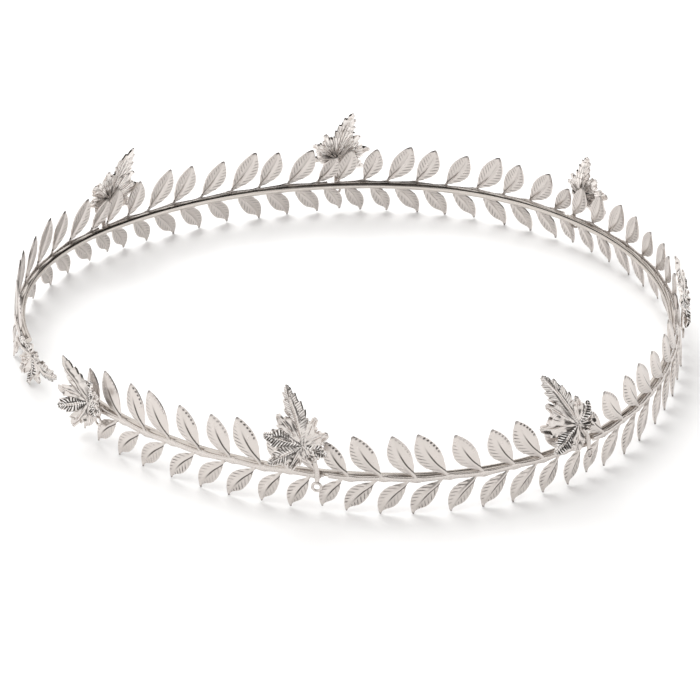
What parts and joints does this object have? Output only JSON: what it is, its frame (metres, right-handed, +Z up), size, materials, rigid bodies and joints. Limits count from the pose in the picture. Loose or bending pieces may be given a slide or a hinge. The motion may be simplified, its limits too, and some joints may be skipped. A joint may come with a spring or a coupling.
{
  "type": "laurel wreath crown",
  "caption": "Silver wreath crown: an open hoop of round rod with stamped laurel leaves along its outside and lobed vine leaves standing up from it.",
  "frame": {"origin": "on the surface that the tips of the lower leaves rest on, in the middle of the head opening", "axes": "+Z up, as it rests and as it is worn; +X towards the brow, -X towards the open back of the hoop"},
  "size_m": [0.1862, 0.1813, 0.0343],
  "materials": {
    "rod_metal": "polished round rod, silver plated",
    "laurel_metal": "bright stamped relief, silver plated",
    "vine_metal": "bright stamped relief with darker hollows, silver plated"
  },
  "bodies": {
    "root": {"hoop": "rod_metal", "laurel_spray_1": "laurel_metal", "laurel_spray_2": "laurel_metal", "laurel_spray_3": "laurel_metal", "laurel_spray_4": "laurel_metal", "laurel_spray_5": "laurel_metal", "laurel_spray_6": "laurel_metal", "laurel_spray_7": "laurel_metal", "vine_leaf_1": "vine_metal", "vine_leaf_2": "vine_metal", "vine_leaf_3": "vine_metal", "vine_leaf_4": "vine_metal", "vine_leaf_5": "vine_metal", "vine_leaf_6": "vine_metal", "vine_leaf_7": "vine_metal", "vine_leaf_8": "vine_metal"}
  },
  "joints": []
}
